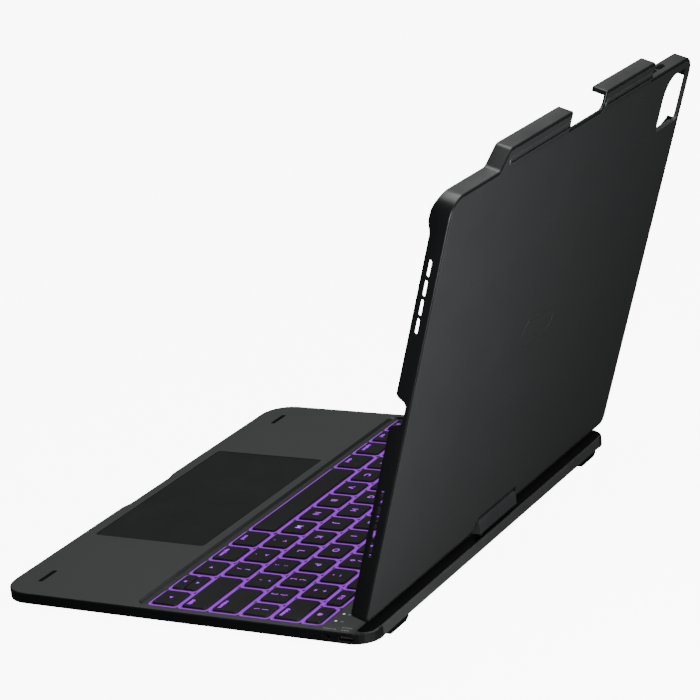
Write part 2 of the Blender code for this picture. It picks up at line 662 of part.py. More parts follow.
def lid_outline(inset=0.0, steps=7):
    half = LID_W / 2 - inset
    return rounded(-half, half, inset, LID_H - inset, LID_CORNER_R - inset, steps)


def notch_outline():
    """The cut-out for the hinge head, flared at the shell's bottom edge."""
    right = [(NOTCH_FLARE_X[0], -2 * MM), (NOTCH_FLARE_X[1], 0), (NOTCH_HALF_W, NOTCH_FLARE_U),
             (NOTCH_HALF_W, NOTCH_U)]
    return right + [(-x, u) for x, u in reversed(right)]


def camera_outline():
    x0, x1 = CAMERA_X
    return rounded(x0, x1, CAMERA_U[0], CAMERA_U[1], CAMERA_RADII, 4)


def build_lid(lid):
    shaft = [slab(circle(AXIS_U, AXIS_V, LID_BORE_R, 20), -SHAFT_HALF_L - GAP, SHAFT_HALF_L + GAP)]
    frame = build_lid_frame(lid)
    soft_edge = [(lid_outline(PANEL_INSET + PANEL_EDGE), 0),
                 (lid_outline(PANEL_INSET), PANEL_EDGE), (lid_outline(PANEL_INSET), PANEL_V)]
    panel = stack_object("lid_back_panel", soft_edge, PLASTIC, parent=lid)
    for body, label in ((frame, "frame"), (panel, "panel")):
        cutter(body, f"{label}_notch", [slab(notch_outline(), *THROUGH)], parent=lid)
        cutter(body, f"{label}_camera", [slab(camera_outline(), *THROUGH)], parent=lid)
        cutter(body, f"{label}_shaft", shaft, along_x=True, parent=lid)
    felt = rounded(-WINDOW_HALF_W + GAP, WINDOW_HALF_W - GAP, WINDOW_U[0] + GAP, WINDOW_U[1] - GAP,
                   WINDOW_R, 3)
    lining = stack_object("lining_sheet", slab(felt, LEDGE_V[0], LEDGE_V[1] - 0.1 * MM), FELT,
                          parent=lid)
    cutter(lining, "lining_camera", [slab(camera_outline(), *THROUGH)], parent=lid)
    bm = bmesh.new()
    add_stack(bm, slab(circle(AXIS_U, AXIS_V, SHAFT_R, 20), -SHAFT_HALF_L, SHAFT_HALF_L))
    turned_to_x(bm)
    new_object("tilt_shaft", bm, STEEL, parent=lid, origin=(0, AXIS_U, AXIS_V))
    for side, sign in (("left", -1), ("right", 1)):
        x0, x1 = sorted((sign * LEAF_X[0], sign * LEAF_X[1]))
        leaf = rounded(x0, x1, *LEAF_U, 0.6 * MM, 2)
        stack_object(f"hinge_leaf_{side}", slab(leaf, *LEAF_V), STEEL, parent=lid)
    for label, x in (("up", VOLUME_X[0]), ("down", VOLUME_X[1])):
        cap = rounded(x - VOLUME_L / 2, x + VOLUME_L / 2, *VOLUME_V, VOLUME_R, 3)
        bm = bmesh.new()
        add_stack(bm, slab(cap, *VOLUME_U))
        for vert in bm.verts:
            vert.co = Vector((vert.co.x, vert.co.z, vert.co.y))
        new_object(f"volume_{label}_button", bm, RUBBER, parent=lid, 
                   origin=(x, VOLUME_U[1], sum(VOLUME_V) / 2))


def build_lid_frame(lid):
    levels = [(lid_outline(LID_CHAMFER), SKIRT_V), (lid_outline(), SKIRT_V + LID_CHAMFER),
              (lid_outline(), LID_RIM_V)]
    frame = stack_object("lid_frame", levels, DARK_PLASTIC, parent=lid)
    bay = rounded(-BAY_HALF_W, BAY_HALF_W, BAY_U[0], BAY_U[1], BAY_R, 6)
    window = rounded(-WINDOW_HALF_W, WINDOW_HALF_W, WINDOW_U[0], WINDOW_U[1], WINDOW_R, 3)
    seat = [(lid_outline(PANEL_INSET - GAP), -MM), (lid_outline(PANEL_INSET - GAP), LEDGE_V[0])]
    cutter(frame, "panel_seat", [seat], parent=lid)
    cutter(frame, "bay", [slab(bay, LEDGE_V[1], THROUGH[1])], parent=lid)
    cutter(frame, "window", [slab(window, *THROUGH)], parent=lid)
    open_top = rectangle(GUARD_LEFT[0] + MM, GUARD_RIGHT[1] - MM, *OPEN_TOP_U)
    cutter(frame, "open_top", [slab(open_top, LEDGE_V[1], THROUGH[1])], parent=lid)
    add_guards(frame, lid)
    add_corner_lips(frame, lid)
    speakers = []
    for low, high in SPEAKER_U:
        for u0, u1 in ((low * MM, high * MM), (2 * PORT_U - high * MM, 2 * PORT_U - low * MM)):
            slot = rectangle(u0, u1, *SPEAKER_V)
            speakers.append(slab(slot, *SIDE_WALL_X))
            if u1 < CAMERA_WALL_GAP_U[0]:
                speakers.append(slab(slot, -SIDE_WALL_X[1], -SIDE_WALL_X[0]))
    port = [(PORT_U - half_w, v) for half_w, v in PORT_PROFILE]
    port += [(PORT_U + half_w, v) for half_w, v in reversed(PORT_PROFILE)]
    speakers.append(slab(port, SIDE_WALL_X[0] - MM, SIDE_WALL_X[1]))
    view_gap = rectangle(*CAMERA_WALL_GAP_U, CAMERA_WALL_GAP_V, THROUGH[1])
    speakers.append(slab(view_gap, -SIDE_WALL_X[1], -SIDE_WALL_X[0] + MM))
    cutter(frame, "wall_openings", speakers, along_x=True, parent=lid)
    pockets = []
    for side in (-1, 1):
        x0, x1 = sorted((side * HEAD_HALF_W, side * (LEAF_X[1] + GAP)))
        pocket = rectangle(x0, x1, LEAF_U[0] - GAP, LEAF_U[1] + GAP)
        pockets.append(slab(pocket, LEAF_V[0] - GAP, LEAF_V[1] + GAP))
    cutter(frame, "leaf_pockets", pockets, parent=lid)
    slots = []
    for x in VOLUME_X:
        slot = rounded(x - VOLUME_L / 2 - GAP, x + VOLUME_L / 2 + GAP, VOLUME_V[0] - GAP,
                       VOLUME_V[1] + GAP, 1.4 * MM, 3)
        slots.append(slab(slot, 220 * MM, 226 * MM))
    tool = cutter(frame, "volume_slots", slots, parent=lid)
    for vert in tool.data.vertices:
        vert.co = Vector((vert.co.x, vert.co.z, vert.co.y))
    tool.data.flip_normals()
    return frame


def add_guards(frame, lid):
    """Two hooked walls over the open top edge, where a stylus rests on the tablet's side."""
    bodies = []
    for x0, x1, ramp in ((*GUARD_RIGHT, 1), (*GUARD_LEFT, 0)):
        outer_end = GUARD_RAMP if ramp else 0
        roof = rectangle(x0, x1, GUARD_U - GUARD_WALL, GUARD_U)
        if ramp:
            foot_x = x1 + outer_end
            back = [(x0, GUARD_FOOT_U), (foot_x, GUARD_FOOT_U), (foot_x, LID_H - 4 * GUARD_STEP),
                    (x1, GUARD_U - 2 * GUARD_STEP), (x0, GUARD_U - 2 * GUARD_STEP)]
            end = [(x1 - RAMP_WALL, GUARD_U - 9 * GUARD_STEP), (foot_x - RAMP_WALL, LID_H - MM),
                   (foot_x + 5 * GUARD_STEP, LID_H - MM), (x1, GUARD_U - GUARD_STEP)]
        else:
            back = rectangle(x0, x1, GUARD_FOOT_U, GUARD_U - 2 * GUARD_STEP)
            end = rectangle(x0, x0 + 1.4 * MM, LID_H - MM, GUARD_U - GUARD_STEP)
        bodies.append(("roof", slab(roof, GUARD_BACK_V[0] + GUARD_STEP, GUARD_FRONT_V)))
        bodies.append(("back", slab(back, *GUARD_BACK_V)))
        end_low = GUARD_BACK_V[1] - 5 * GUARD_STEP
        bodies.append(("end", slab(end, end_low, GUARD_FRONT_V - GUARD_STEP)))
    for i, (label, levels) in enumerate(bodies):
        cutter(frame, f"guard_{label}_{i}", [levels], parent=lid, operation="UNION")


def add_corner_lips(frame, lid):
    """Lips over the tablet's upper corners, which hold its screen side."""
    outer = LID_CORNER_R
    inner = outer - LIP_W
    steps = 6
    for side in (-1, 1):
        cx = side * (LID_W / 2 - outer)
        cu = LID_H - outer
        arc = [math.radians(90 * i / steps) for i in range(steps + 1)]
        ring_out = [(cx + side * outer * math.cos(a), cu + outer * math.sin(a)) for a in arc]
        ring_in = [(cx + side * inner * math.cos(a), cu + inner * math.sin(a)) for a in arc]
        end_x = side * LIP_END_X
        outline = ring_out + [(end_x, LID_H), (end_x, LID_H - LIP_W)] + list(reversed(ring_in))
        if side > 0:
            outline.append((LID_W / 2 - LIP_W, LIP_LOW_U))
            outline.append((LID_W / 2, LIP_LOW_U))
        if side < 0:
            outline.reverse()
        cutter(frame, f"lip_{'left' if side < 0 else 'right'}",
               [slab(outline, LID_RIM_V - LIP_OVERLAP, LID_LIP_V)], parent=lid, operation="UNION")


def main():
    clear_scene()
    cells = key_cells()
    build_base_shell()
    build_electronics()
    build_key_plate(cells)
    build_keys(cells)
    build_trackpad()
    build_hinge_head()
    stand = (math.pi / 2 - LID_TILT_BACK, 0, 0)
    lid = pivot("lid_tilt_axis", (0, TILT_Y, TILT_Z), stand, modelling_origin=(0, AXIS_U, AXIS_V))
    build_lid(lid)


main()
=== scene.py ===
"""The look of the tablet keyboard case: keycaps, key light, trims, plastics and studio.

Row frame: +X towards the typist's right, +Y towards the hinge, +Z up, in metres.
Lid pieces are drawn in the lid's own X, U, V (U from its bottom edge to its top edge,
V from its back face towards the screen) and are then stood up by lid_matrix().
"""
import json
import math

import bmesh
import bpy
from mathutils import Matrix, Vector


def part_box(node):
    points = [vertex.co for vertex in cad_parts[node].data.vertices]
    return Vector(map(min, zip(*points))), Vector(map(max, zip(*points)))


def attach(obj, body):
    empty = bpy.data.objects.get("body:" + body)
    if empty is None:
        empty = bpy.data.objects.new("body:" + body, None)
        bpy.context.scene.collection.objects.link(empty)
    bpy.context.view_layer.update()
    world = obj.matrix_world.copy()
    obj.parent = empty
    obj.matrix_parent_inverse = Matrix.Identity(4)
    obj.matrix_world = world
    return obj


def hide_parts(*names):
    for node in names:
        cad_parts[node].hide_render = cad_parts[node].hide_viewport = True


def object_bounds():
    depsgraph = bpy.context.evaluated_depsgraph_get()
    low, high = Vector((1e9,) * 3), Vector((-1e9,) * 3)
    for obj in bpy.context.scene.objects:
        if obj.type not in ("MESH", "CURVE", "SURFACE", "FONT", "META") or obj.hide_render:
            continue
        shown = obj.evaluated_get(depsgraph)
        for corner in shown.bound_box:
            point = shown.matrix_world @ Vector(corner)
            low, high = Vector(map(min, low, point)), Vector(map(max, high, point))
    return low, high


MM = 0.001

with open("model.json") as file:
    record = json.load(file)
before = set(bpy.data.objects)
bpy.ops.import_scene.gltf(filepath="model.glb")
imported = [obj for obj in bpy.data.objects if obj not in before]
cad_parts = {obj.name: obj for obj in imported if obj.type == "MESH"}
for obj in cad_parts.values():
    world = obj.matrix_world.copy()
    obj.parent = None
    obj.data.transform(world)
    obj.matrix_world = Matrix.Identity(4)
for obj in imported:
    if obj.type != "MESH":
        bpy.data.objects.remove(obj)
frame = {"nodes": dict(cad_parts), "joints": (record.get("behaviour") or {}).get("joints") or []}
cad_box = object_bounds()
nodes = frame["nodes"]
joints = {joint["name"]: joint for joint in frame["joints"]}

# Keyboard: cap widths from the right-hand end of each bank, as the CAD banks have them
KEY_GAP = 3.4 * MM
UNIT = 19.35 * MM
HOME_UNIT = 19.3 * MM
BANKS = {
    "bank_function": [21.0 * MM] * 12,
    "bank_number": [UNIT] * 12 + [14.4 * MM],
    "bank_upper": [UNIT] * 12,
    "bank_home": [HOME_UNIT] * 11,
    "bank_lower": [HOME_UNIT] * 10,
}
FLANGE = 0.3 * MM
CAP_CORNER_R = 1.5 * MM
CAP_SHOULDER = 0.3 * MM
CAP_DRAFT = 0.2 * MM
CAP_DISH = 0.06 * MM
DISH_INSET = 1.0 * MM
CAP_BOTTOM = 3.6 * MM
LEGEND_LIFT = 0.02 * MM
LEGEND_THICKNESS = 0.03 * MM

# Legends from the right-hand end of each bank, as (main, shifted) marks
LEGENDS = {
    "bank_function": ["F12", "F11", "F10", "F9", "F8", "F7", "F6", "F5", "F4", "F3", "F2", "F1"],
    "bank_number": ["+=", "_-", ")0", "(9", "*8", "&7", "^6", "%5", "$4", "#3", "@2", "!1", "~`"],
    "bank_upper": ["}]", "{[", "P", "O", "I", "U", "Y", "T", "R", "E", "W", "Q"],
    "bank_home": ["\"'", ":;", "L", "K", "J", "H", "G", "F", "D", "S", "A"],
    "bank_lower": ["?/", ">.", "<,", "M", "N", "B", "V", "C", "X", "Z"],
}
WORD_KEYS = {
    "key_backspace": ("delete", "right"),
    "key_tab": ("tab", "left"),
    "key_return": ("return", "right"),
    "key_caps_lock": ("caps", "left"),
    "key_shift_right": ("shift", "right"),
    "key_shift_left": ("shift", "left"),
    "key_option_right": ("option", "middle"),
    "key_option_left": ("option", "middle"),
    "key_command_right": ("cmd", "middle"),
    "key_command_left": ("cmd", "middle"),
    "key_control": ("ctrl", "middle"),
    "key_globe": ("fn", "middle"),
    "key_backslash": ("|\\", "stacked"),
    "key_lock": ("", "lock"),
    "key_space": ("", "blank"),
    "key_arrow_left": ("", "arrow"),
    "key_arrow_right": ("", "arrow"),
    "key_arrow_up": ("", "arrow"),
    "key_arrow_down": ("", "arrow"),
}
ARROW_TURNS = {"key_arrow_right": 0, "key_arrow_up": 90, "key_arrow_left": 180, "key_arrow_down": 270}
LETTER_SIZE = 5.2 * MM
SMALL_SIZE = 3.9 * MM
FUNCTION_SIZE = 3.3 * MM
WORD_SIZE = 3.4 * MM
LETTER_WEIGHT = 0.09 * MM

# Key light: a thin film on the well floor that shines brightest beside each cap
FILM_GAP = 0.12 * MM
FILM_REACH = 1.62 * MM
FILM_RISE = 0.03 * MM
FILM_BRIGHT = 0.85 * MM

# Lid
LID_TILT_BACK = math.radians(18.43)
LID_AXIS_U = 2.6 * MM
LID_AXIS_V = 1.95 * MM
# Lid outline, walls and guards, in millimetres: the lid functions scale them at the end
LID_HALF_W = 142.5
LID_H = 223.4
LID_CORNER_R = 10
LID_BOTTOM_R = 5
HINGE_NOTCH = (25.4, 22.6, 2.6, 6.5)
GUARD_H = 233
GUARD_SPLIT_X = 17.5
GUARD_SPLIT_LEFT_X = -22.3
GUARD_SPLIT_U = 223.6
GUARD_RIGHT_X = 87
GUARD_RAMP_X = 95
GUARD_LEFT_X = -84.8
ROOF_LOW_U = 230.4
WALL_H = 8.4
THIN_H = 1.7
LIP_RISE = 1.8
LIP_LOW_U = 204
LIP_RUN_U = 6
LIP_FADE = math.radians(75)
FAR_LIP_FADE = math.radians(80)
FAR_DIP = 2.2
FAR_DIP_U = 180
STEP_LOW_U = 223.2
STEP_HIGH_U = 228.2
STEP_R = 1.8
STEP_PROFILE = ((0, 0.1), (0.15, -0.25), (0.4, -0.45), (0.8, -0.5), (1.2, -0.5))
FAR_LIP_RISE = 1.0
FAR_GAP_U = (186.5, 211)
WALL_W = 1.5
RIM_R = 0.9
PANEL_GAP = 0.3
PLATE_V = 1.85
CAMERA_HOLE = (-139, -109.7, 187, 217.6)
CAMERA_HOLE_RADII = (4, 3, 12, 6)
PORT_U = 114.5
PORT_CUT = [(9, 12), (9, 8.4), (7.4, 7), (6, 3.6), (4.4, 2.4)]
SPEAKER_SLOTS = [(155, 163.2), (164.3, 172.8), (174, 182.4), (183.8, 192.5)]
SPEAKER_V = (4.2, 6.0)
VOLUME_X = (-95.2, -106.6)
MARK_U = 112
MARK_SIZE = (19, 7.5)

# Printed marks on the deck beside the key field, in millimetres: x, first y, count, half sizes
DECK_PRINTS = [(122.9, 87.8, 1, 0.45, 0.7), (131.2, 88.2, 1, 0.45, 0.7), (139.8, 83.1, 5, 0.35, 0.55),
               (137.1, 92.1, 4, 0.35, 0.5), (139.9, 93.1, 3, 0.35, 0.5)]
DASH_PITCH = 1.45

# Camera
CAMERA_PLACE = (1.11533, 0.69503, 0.51053)
CAMERA_BACK = (0.819023, 0.486786, 0.303711)
CAMERA_UP = (-0.317965, -0.055536, 0.946475)
CAMERA_LENS = 133.6

# Studio
FLOOR_GLOW = 9.0


# ---------------------------------------------------------------- materials

def new_material(name):
    made = bpy.data.materials.new(name)
    made.use_nodes = True
    shader = made.node_tree.nodes["Principled BSDF"]
    return made, made.node_tree, shader


def object_noise(tree, scale, detail=3.0, roughness=0.55):
    """A noise texture in object space, where one unit is a metre."""
    coordinates = tree.nodes.new("ShaderNodeTexCoord")
    noise = tree.nodes.new("ShaderNodeTexNoise")
    noise.inputs["Scale"].default_value = scale
    noise.inputs["Detail"].default_value = detail
    noise.inputs["Roughness"].default_value = roughness
    tree.links.new(coordinates.outputs["Object"], noise.inputs["Vector"])
    return noise


def ramp(tree, source, low, high, start=0.3, end=0.7):
    """A colour ramp from low to high colours, read from a noise or another value."""
    node = tree.nodes.new("ShaderNodeValToRGB")
    node.color_ramp.elements[0].position = start
    node.color_ramp.elements[1].position = end
    node.color_ramp.elements[0].color = (*low, 1)
    node.color_ramp.elements[1].color = (*high, 1)
    tree.links.new(source, node.inputs["Fac"])
    return node


def spread(tree, source, low, high):
    """Maps a noise value from its usual range to low..high."""
    node = tree.nodes.new("ShaderNodeMapRange")
    node.inputs["From Min"].default_value = 0.3
    node.inputs["From Max"].default_value = 0.7
    node.inputs["To Min"].default_value = low
    node.inputs["To Max"].default_value = high
    tree.links.new(source, node.inputs["Value"])
    return node


def moulded_plastic(name, colour, roughness, grain_mm=0.35, bump=0.12, mottle=0.12, specular=0.5):
    """Moulded plastic: spark-eroded grain, slight tone mottle and handled, uneven gloss."""
    made, tree, shader = new_material(name)
    grain = object_noise(tree, 1 / (grain_mm * MM), 2.0)
    cloud = object_noise(tree, 38.0, 4.0)
    low = tuple(c * (1 - mottle) for c in colour)
    high = tuple(c * (1 + mottle) for c in colour)
    tone = ramp(tree, cloud.outputs["Fac"], low, high)
    tree.links.new(tone.outputs["Color"], shader.inputs["Base Color"])
    gloss = spread(tree, cloud.outputs["Fac"], roughness - 0.04, roughness + 0.04)
    tree.links.new(gloss.outputs["Result"], shader.inputs["Roughness"])
    relief = tree.nodes.new("ShaderNodeBump")
    relief.inputs["Strength"].default_value = bump
    relief.inputs["Distance"].default_value = 0.05 * MM
    tree.links.new(grain.outputs["Fac"], relief.inputs["Height"])
    tree.links.new(relief.outputs["Normal"], shader.inputs["Normal"])
    shader.inputs["Specular IOR Level"].default_value = specular
    return made


def side_shaded_plastic(name, top, side, roughness):
    """Moulded plastic with painted shade: its upright faces are darker than its upper faces, as if less
    light fell on them.
    """
    made = moulded_plastic(name, top, roughness)
    tree = made.node_tree
    shader = tree.nodes["Principled BSDF"]
    facing = tree.nodes.new("ShaderNodeNewGeometry")
    parts = tree.nodes.new("ShaderNodeSeparateXYZ")
    tree.links.new(facing.outputs["True Normal"], parts.inputs["Vector"])
    upward = tree.nodes.new("ShaderNodeMapRange")
    upward.inputs["From Min"].default_value = 0.75
    upward.inputs["From Max"].default_value = 0.95
    tree.links.new(parts.outputs["Z"], upward.inputs["Value"])
    mix = tree.nodes.new("ShaderNodeMix")
    mix.data_type = "RGBA"
    mix.inputs["A"].default_value = (*side, 1)
    tone = shader.inputs["Base Color"].links[0].from_socket
    tree.links.new(upward.outputs["Result"], mix.inputs["Factor"])
    tree.links.new(tone, mix.inputs["B"])
    tree.links.new(mix.outputs["Result"], shader.inputs["Base Color"])
    return made


def brushed_metal(name, colour, roughness):
    made, tree, shader = new_material(name)
    coordinates = tree.nodes.new("ShaderNodeTexCoord")
    stretch = tree.nodes.new("ShaderNodeMapping")
    stretch.inputs["Scale"].default_value = (200, 6000, 6000)
    noise = tree.nodes.new("ShaderNodeTexNoise")
    noise.inputs["Scale"].default_value = 1.0
    noise.inputs["Detail"].default_value = 4.0
    tree.links.new(coordinates.outputs["Object"], stretch.inputs["Vector"])
    tree.links.new(stretch.outputs["Vector"], noise.inputs["Vector"])
    gloss = spread(tree, noise.outputs["Fac"], roughness - 0.08, roughness + 0.1)
    tree.links.new(gloss.outputs["Result"], shader.inputs["Roughness"])
    tone = ramp(tree, noise.outputs["Fac"], tuple(c * 0.85 for c in colour), colour)
    tree.links.new(tone.outputs["Color"], shader.inputs["Base Color"])
    shader.inputs["Metallic"].default_value = 1.0
    return made


def glowing(name, colour, strength, mottle=0.1):
    """A lit, light-transmitting plastic with slightly uneven light."""
    made, tree, shader = new_material(name)
    noise = object_noise(tree, 260.0, 2.0)
    low = tuple(c * (1 - mottle) for c in colour)
    tone = ramp(tree, noise.outputs["Fac"], low, colour)
    tree.links.new(tone.outputs["Color"], shader.inputs["Emission Color"])
    tree.links.new(tone.outputs["Color"], shader.inputs["Base Color"])
    shader.inputs["Emission Strength"].default_value = strength
    shader.inputs["Roughness"].default_value = 0.4
    return made


def key_light_film(name, dim, bright, strength):
    """Light leaking past the caps, brightest beside them, from the film's glow attribute."""
    made, tree, shader = new_material(name)
    glow = tree.nodes.new("ShaderNodeAttribute")
    glow.attribute_name = "glow"
    tone = ramp(tree, glow.outputs["Fac"], dim, bright, 0.0, 1.0)
    tree.links.new(tone.outputs["Color"], shader.inputs["Emission Color"])
    shader.inputs["Base Color"].default_value = (0.03, 0.02, 0.05, 1)
    shader.inputs["Emission Strength"].default_value = strength
    shader.inputs["Roughness"].default_value = 0.5
    return made


def microfibre(name, colour):
    """Napped lining cloth: fine random pile and a soft sheen."""
    made, tree, shader = new_material(name)
    pile = object_noise(tree, 4200.0, 4.0, 0.8)
    nap = object_noise(tree, 90.0, 3.0)
    tone = ramp(tree, nap.outputs["Fac"], tuple(c * 0.75 for c in colour), tuple(c * 1.3 for c in colour))
    tree.links.new(tone.outputs["Color"], shader.inputs["Base Color"])
    relief = tree.nodes.new("ShaderNodeBump")
    relief.inputs["Strength"].default_value = 0.5
    relief.inputs["Distance"].default_value = 0.15 * MM
    tree.links.new(pile.outputs["Fac"], relief.inputs["Height"])
    tree.links.new(relief.outputs["Normal"], shader.inputs["Normal"])
    shader.inputs["Roughness"].default_value = 0.95
    shader.inputs["Sheen Weight"].default_value = 0.35
    return made


VIOLET = (0.44, 0.0, 1.0)
# Painted shade: the shell's upright faces get a much darker colour than its top faces.
SHELL = side_shaded_plastic("shell_satin", (0.052, 0.056, 0.056), (0.006, 0.007, 0.0075), 0.44)
TRIM = moulded_plastic("rear_trim_satin", (0.056, 0.058, 0.058), 0.44)
LID_PANEL = moulded_plastic("lid_panel_satin", (0.044, 0.046, 0.047), 0.44, mottle=0.04)
# Painted shade: the edge frame's upright faces get a much darker colour than its top faces.
LID_FRAME = side_shaded_plastic("frame_satin", (0.048, 0.050, 0.050), (0.009, 0.010, 0.0105), 0.38)
HEAD = moulded_plastic("hinge_head_satin", (0.040, 0.042, 0.043), 0.42)
KEYCAP = moulded_plastic("keycap_matte", (0.022, 0.025, 0.023), 0.66, grain_mm=0.25, bump=0.15,
                         specular=0.22)
WELL = moulded_plastic("key_well_matte", (0.042, 0.045, 0.045), 0.55)
PAD = moulded_plastic("trackpad_film", (0.011, 0.012, 0.012), 0.5, grain_mm=0.15, bump=0.04,
                      specular=0.25)
RUBBER = moulded_plastic("black_rubber", (0.003, 0.003, 0.003), 0.75, grain_mm=0.5, bump=0.25,
                         specular=0.15)
STEEL = brushed_metal("brushed_steel", (0.55, 0.55, 0.56), 0.3)
# Painted shade: a nearly black steel that stands in for the deep shade under the hinge block.
SHADE_DARK_STEEL = brushed_metal("steel_darkened_as_shade", (0.020, 0.020, 0.022), 0.45)
SOCKET = brushed_metal("socket_steel", (0.16, 0.16, 0.165), 0.35)
BOARD = moulded_plastic("circuit_board", (0.02, 0.10, 0.05), 0.45)
FOIL = brushed_metal("battery_foil", (0.6, 0.6, 0.61), 0.35)
LEGEND = glowing("legend_light", VIOLET, 1.0)
GUIDE = glowing("light_guide", VIOLET, 0.6)
FILM = key_light_film("key_light", (0.10, 0.0, 0.24), VIOLET, 0.95)
LAMP = glowing("indicator_white", (0.85, 0.86, 0.88), 1.0)
PRINT = moulded_plastic("printed_grey", (0.35, 0.36, 0.36), 0.6)
LINING = microfibre("lining_microfibre", (0.03, 0.03, 0.032))

NODE_MATERIALS = {
    SHELL: ["top_case", "bottom_cover"],
    TRIM: ["rear_trim_left", "rear_trim_right"],
    LID_PANEL: ["lid_back_panel"],
    LID_FRAME: ["lid_frame", "power_switch"],
    # Painted shade: the swivel post is made nearly black for the shade under the hinge block.
    SHADE_DARK_STEEL: ["swivel_post"],
    HEAD: ["hinge_block_left", "hinge_block_right"],
    WELL: ["key_plate"],
    PAD: ["trackpad"],
    RUBBER: ["bumper_left", "bumper_right", "foot_front_left", "foot_front_right",
             "foot_rear_left", "foot_rear_right", "rear_strip_left", "rear_strip_right",
             "volume_up_button", "volume_down_button"],
    STEEL: ["swivel_bush", "tilt_shaft", "hinge_leaf_left", "hinge_leaf_right"],
    SOCKET: ["usb_c_socket"],
    BOARD: ["keyboard_circuit", "main_board", "trackpad_board"],
    FOIL: ["battery_left", "battery_right"],
    GUIDE: ["light_guide"],
    LAMP: ["indicator_lens"],
    LINING: ["lining_sheet"],
}
BEVELS = {
    "top_case": 0.25 * MM,
    "trackpad": 0.12 * MM,
    "hinge_block_left": 0.6 * MM,
    "hinge_block_right": 0.6 * MM,
    "rear_trim_left": 0.35 * MM,
    "rear_trim_right": 0.35 * MM,
    "bumper_left": 0.25 * MM,
    "bumper_right": 0.25 * MM,
}


def dress_nodes():
    for material, names in NODE_MATERIALS.items():
        for name in names:
            mesh = nodes[name].data
            mesh.materials.clear()
            mesh.materials.append(material)
    for name, width in BEVELS.items():
        bevel = nodes[name].modifiers.new("soft_edges", "BEVEL")
        bevel.width = width
        bevel.segments = 2
        bevel.limit_method = "ANGLE"
        bevel.angle_limit = math.radians(40)
        bevel.harden_normals = False


# ---------------------------------------------------------------- mesh helpers

def rounded(x0, x1, y0, y1, r, steps=5):
    """A rectangle with rounded corners, counter-clockwise from the lower left."""
    points = []
    corners = [(x0, y0, 1, 1), (x1, y0, -1, 1), (x1, y1, -1, -1), (x0, y1, 1, -1)]
    for quarter, (x, y, sx, sy) in enumerate(corners):
        for i in range(steps + 1):
            angle = math.radians(180 + 90 * quarter + 90 * i / steps)
            points.append((x + sx * r + r * math.cos(angle), y + sy * r + r * math.sin(angle)))
    return points


def loft(bm, levels, material_index=0, close_low=True, close_high=True):
    """Faces through outlines of equal count, one at each (outline, height)."""
    rings = [[bm.verts.new((x, y, z)) for x, y in outline] for outline, z in levels]
    made = []
    for low, high in zip(rings, rings[1:]):
        for i in range(len(low)):
            j = (i + 1) % len(low)
            made.append(bm.faces.new((low[i], low[j], high[j], high[i])))
    if close_low:
        made.append(bm.faces.new(list(reversed(rings[0]))))
    if close_high:
        made.append(bm.faces.new(rings[-1]))
    for face in made:
        face.material_index = material_index
        face.smooth = True
    return rings


def finish_mesh(name, bm, materials, body, matrix=None, replaced=(), sharp=35):
    """Makes a piece from bm, standing in the row frame, and lets it ride on its body."""
    if matrix is not None:
        bm.transform(matrix)
    mesh = bpy.data.meshes.new(name)
    bm.to_mesh(mesh)
    bm.free()
    for material in materials:
        mesh.materials.append(material)
    mesh.shade_smooth()
    mesh.set_sharp_from_angle(angle=math.radians(sharp))
    piece = bpy.data.objects.new(name, mesh)
    bpy.context.scene.collection.objects.link(piece)
    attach(piece, body)
    if replaced:
        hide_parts(*replaced)
    return piece


def lid_matrix():
    """Stands pieces drawn in X, U, V on the lid at its rest angle."""
    pivot = Vector(joints["lid_tilt"]["pos_m"])
    stand = Matrix.Rotation(math.pi / 2 - LID_TILT_BACK, 4, "X")
    axis = Matrix.Translation((0, -LID_AXIS_U, -LID_AXIS_V))
    return Matrix.Translation(pivot) @ stand @ axis


def add_text(bm, text, size, centre, z, turn=0.0, align="CENTER", material_index=1):
    """Adds flat lettering of small thickness to bm, its middle at centre."""
    curve = bpy.data.curves.new("lettering", "FONT")
    curve.body = text
    curve.size = size
    curve.align_x = align
    curve.align_y = "CENTER"
    curve.extrude = LEGEND_THICKNESS / 2
    curve.offset = LETTER_WEIGHT
    curve.resolution_u = 3
    holder = bpy.data.objects.new("lettering", curve)
    bpy.context.scene.collection.objects.link(holder)
    bpy.context.view_layer.update()
    mesh = bpy.data.meshes.new_from_object(holder)
    place = Matrix.Translation((centre[0], centre[1], z)) @ Matrix.Rotation(turn, 4, "Z")
    mesh.transform(place)
    before = len(bm.faces)
    bm.from_mesh(mesh)
    bm.faces.ensure_lookup_table()
    for face in bm.faces[before:]:
        face.material_index = material_index
        face.smooth = False
    bpy.data.objects.remove(holder)
    bpy.data.curves.remove(curve)
    bpy.data.meshes.remove(mesh)


def add_prism(bm, outline, low, high, material_index=1):
    loft(bm, [(outline, low), (outline, high)], material_index)


# ---------------------------------------------------------------- keyboard

def cap_boxes():
    """Every cap as (piece name, node, legend, x0, x1, y0, y1, top); the node is also the body the cap
    rides on.
    """
    caps = []
    for node, widths in BANKS.items():
        low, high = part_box(node)
        right = high.x
        for i, width in enumerate(widths):
            left = right - (width - KEY_GAP)
            caps.append((f"{node.replace('bank', 'cap')}_{i + 1:02d}", node, LEGENDS[node][i],
                         left, right, low.y, high.y, high.z))
            right = left - KEY_GAP
    for node in WORD_KEYS:
        low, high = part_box(node)
        margin = 0 if node in ("key_arrow_up", "key_arrow_down") else FLANGE
        caps.append((node.replace("key_", "cap_"), node, None, low.x + margin, high.x - margin,
                     low.y + margin, high.y - margin, high.z))
    return caps


